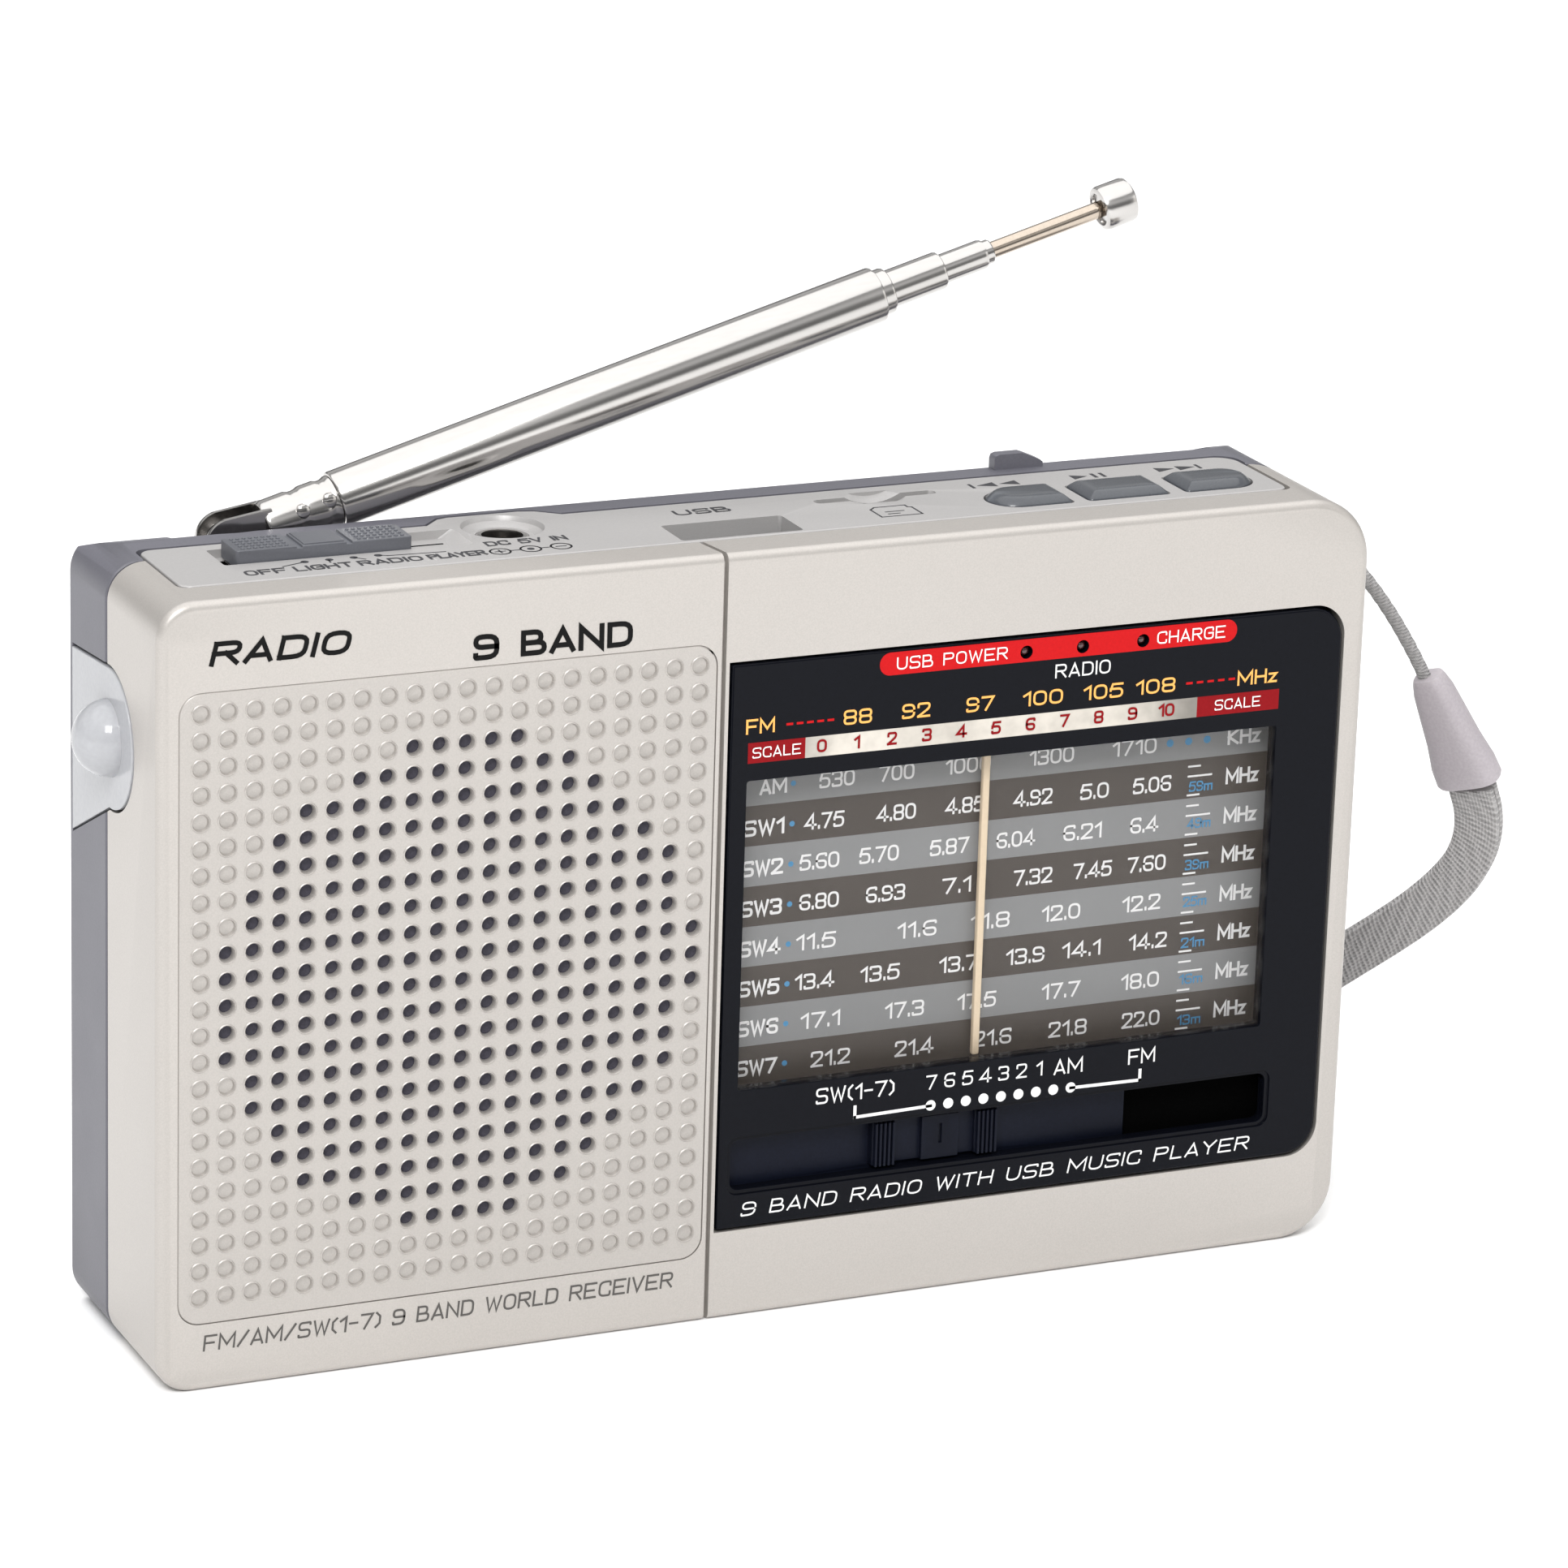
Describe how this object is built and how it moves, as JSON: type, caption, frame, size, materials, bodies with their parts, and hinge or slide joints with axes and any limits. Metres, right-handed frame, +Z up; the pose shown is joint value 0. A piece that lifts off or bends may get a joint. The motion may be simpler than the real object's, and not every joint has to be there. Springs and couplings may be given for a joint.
{
  "type": "shortwave receiver",
  "caption": "Pocket shortwave receiver: boxy case with a round-pattern loudspeaker grille, window dial, slide band switch, thumbwheels, telescopic aerial, torch and wrist strap.",
  "frame": {"origin": "on the surface the receiver stands on, under the middle of the box that bounds everything but the wrist strap", "axes": "+X to the right of someone facing the dial, +Y from the front face into the case, +Z up"},
  "size_m": [0.166, 0.044, 0.1129],
  "materials": {
    "silver_paint": "warm silver paint with fine metallic grain",
    "slate_plastic": "slate grey, fine texture",
    "panel_plastic": "light grey satin",
    "black_gloss": "polished black",
    "clear": "clear moulded plastic",
    "scale_print": "printed scale",
    "cream_plastic": "cream",
    "dark_plastic": "dark grey",
    "button_rubber": "dark grey, semi-gloss",
    "chrome": "polished",
    "steel": "plain",
    "board": "green circuit board",
    "paper_cone": "black paper",
    "ferrite": "dark grey ferrite",
    "copper_wire": "enamelled copper wire",
    "battery_wrap": "blue film",
    "led_lens": "red tinted",
    "strap_fabric": "light grey woven",
    "sleeve_plastic": "mauve-grey, fine texture"
  },
  "bodies": {
    "case": {"band_switch_body": "steel", "battery_contacts": "dark_plastic", "battery_pack": "battery_wrap", "card_socket": "steel", "case_screw_1": "steel", "case_screw_2": "steel", "case_screw_3": "steel", "case_screw_4": "steel", "charge_led": "led_lens", "dc_jack": "chrome", "dial_bezel": "black_gloss", "dial_cord": "strap_fabric", "dial_scale_plate": "scale_print", "dial_window": "clear", "ferrite_coil": "copper_wire", "ferrite_rod": "ferrite", "front_cover": "silver_paint", "function_switch_body": "steel", "headphone_jack": "dark_plastic", "key_board": "board", "key_switch_1": "dark_plastic", "key_switch_2": "dark_plastic", "key_switch_3": "dark_plastic", "main_board": "board", "power_led": "led_lens", "radio_led": "led_lens", "rear_cover": "slate_plastic", "speaker_cone": "paper_cone", "speaker_frame": "steel", "speaker_grille": "silver_paint", "speaker_magnet": "steel", "strap_bar": "steel", "strap_cord": "strap_fabric", "strap_sleeve": "sleeve_plastic", "strap_webbing": "strap_fabric", "top_panel": "panel_plastic", "torch_led": "clear", "torch_lens": "clear", "torch_reflector": "chrome", "tuning_capacitor": "clear", "usb_socket": "steel", "volume_control": "dark_plastic"},
    "battery_door": {"battery_door": "slate_plastic"},
    "pointer": {"dial_pointer": "cream_plastic"},
    "tuning_wheel": {"tuning_knob": "dark_plastic"},
    "drum": {"capacitor_drum": "dark_plastic"},
    "volume_wheel": {"volume_knob": "dark_plastic"},
    "band_slider": {"band_switch_knob": "dark_plastic"},
    "function_slider": {"function_knob": "slate_plastic"},
    "skip_back_key": {"skip_back_button": "button_rubber"},
    "play_key": {"play_button": "button_rubber"},
    "skip_forward_key": {"skip_forward_button": "button_rubber"},
    "swivel": {"aerial_swivel": "chrome"},
    "mast": {"aerial_knuckle": "chrome", "aerial_pivot_pin": "steel", "aerial_tube_1": "chrome"},
    "mast_2": {"aerial_tube_2": "chrome"},
    "mast_3": {"aerial_tube_3": "chrome"},
    "mast_4": {"aerial_tube_4": "chrome"},
    "mast_rod": {"aerial_rod": "chrome"}
  },
  "joints": [
    {"name": "aerial_swivel_turn", "type": "hinge", "parent": "case", "child": "swivel", "pos_m": [-0.04952, 0.0117, 0.08145], "axis": [0, 0, 1], "range_deg": [0, 135]},
    {"name": "aerial_tilt", "type": "hinge", "parent": "swivel", "child": "mast", "pos_m": [-0.04952, 0.0117, 0.08145], "axis": [0, -1, 0], "range_deg": [-15.8, 73.9]},
    {"name": "aerial_slide_2", "type": "slide", "parent": "mast", "child": "mast_2", "axis": [0.9608, 0, 0.2773], "range_m": [0, 0.048]},
    {"name": "aerial_slide_3", "type": "slide", "parent": "mast_2", "child": "mast_3", "axis": [0.9608, 0, 0.2773], "range_m": [0, 0.048]},
    {"name": "aerial_slide_4", "type": "slide", "parent": "mast_3", "child": "mast_4", "axis": [0.9608, 0, 0.2773], "range_m": [0, 0.052]},
    {"name": "aerial_slide_rod", "type": "slide", "parent": "mast_4", "child": "mast_rod", "axis": [0.9608, 0, 0.2773], "range_m": [-0.0124, 0.046]},
    {"name": "tuning_turn", "type": "hinge", "parent": "case", "child": "tuning_wheel", "pos_m": [0.05658, -0.0065, 0.047], "axis": [0, 1, 0], "range_deg": [-141, 159]},
    {"name": "pointer_travel", "type": "slide", "parent": "case", "child": "pointer", "axis": [1, 0, 0], "range_m": [-0.0213, 0.024]},
    {"name": "drum_turn", "type": "hinge", "parent": "case", "child": "drum", "pos_m": [0.02148, -0.0086, 0.043], "axis": [0, 1, 0], "range_deg": [-88, 98]},
    {"name": "volume_turn", "type": "hinge", "parent": "case", "child": "volume_wheel", "pos_m": [0.05958, -0.0065, 0.021], "axis": [0, 1, 0], "range_deg": [-150, 150]},
    {"name": "band_switch_slide", "type": "slide", "parent": "case", "child": "band_slider", "axis": [1, 0, 0], "range_m": [0, 0.0164]},
    {"name": "function_switch_slide", "type": "slide", "parent": "case", "child": "function_slider", "axis": [1, 0, 0], "range_m": [0, 0.0054]},
    {"name": "skip_back_press", "type": "slide", "parent": "case", "child": "skip_back_key", "axis": [0, 0, -1], "range_m": [0, 0.0008], "stiffness_N_per_m": 400, "springref_m": -0.0015},
    {"name": "play_press", "type": "slide", "parent": "case", "child": "play_key", "axis": [0, 0, -1], "range_m": [0, 0.0008], "stiffness_N_per_m": 400, "springref_m": -0.0015},
    {"name": "skip_forward_press", "type": "slide", "parent": "case", "child": "skip_forward_key", "axis": [0, 0, -1], "range_m": [0, 0.0008], "stiffness_N_per_m": 400, "springref_m": -0.0015},
    {"name": "battery_door_lift", "type": "slide", "parent": "case", "child": "battery_door", "axis": [0, 1, 0], "range_m": [0, 0.02]}
  ],
  "couplings": [
    {"joint": "pointer_travel", "follows": "tuning_turn", "m_per_rad": 0.0086},
    {"joint": "drum_turn", "follows": "tuning_turn", "ratio": 0.6143}
  ]
}
